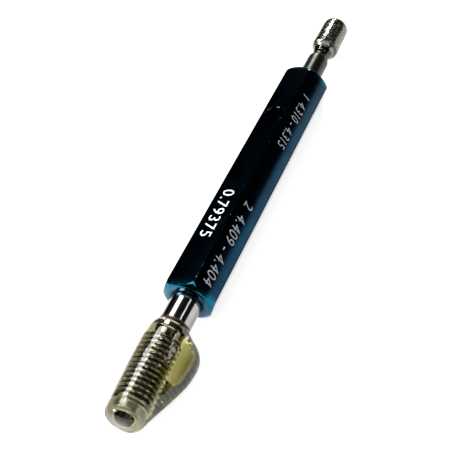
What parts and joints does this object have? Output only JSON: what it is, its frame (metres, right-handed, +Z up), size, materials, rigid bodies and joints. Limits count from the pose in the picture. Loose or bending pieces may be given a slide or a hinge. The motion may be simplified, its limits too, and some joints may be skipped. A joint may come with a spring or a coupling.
{
  "type": "thread plug gauge",
  "caption": "Double-end thread plug gauge: blue hexagonal handle with a steel GO thread plug at one end and a NO GO plug at the other, both dipped in a clear protective coating.",
  "frame": {"origin": "centre of the handle flat that rests on the table", "axes": "+X along the handle axis towards the GO member, +Z up, out of the opposite handle flat, which carries the GO end's drift hole"},
  "size_m": [0.0896, 0.01, 0.0079],
  "materials": {
    "handle_blue": "smooth bright anodised, dark blue",
    "gauge_steel": "hardened, ground and lapped",
    "clear_coating": "clear dipped peel-off plastic, thin",
    "clear_coating_yellowed": "clear dipped peel-off plastic, thick and slightly yellow"
  },
  "bodies": {
    "root": {"handle": "handle_blue", "go_member": "gauge_steel", "nogo_member": "gauge_steel", "go_coating": "clear_coating", "nogo_coating": "clear_coating_yellowed"}
  },
  "joints": []
}
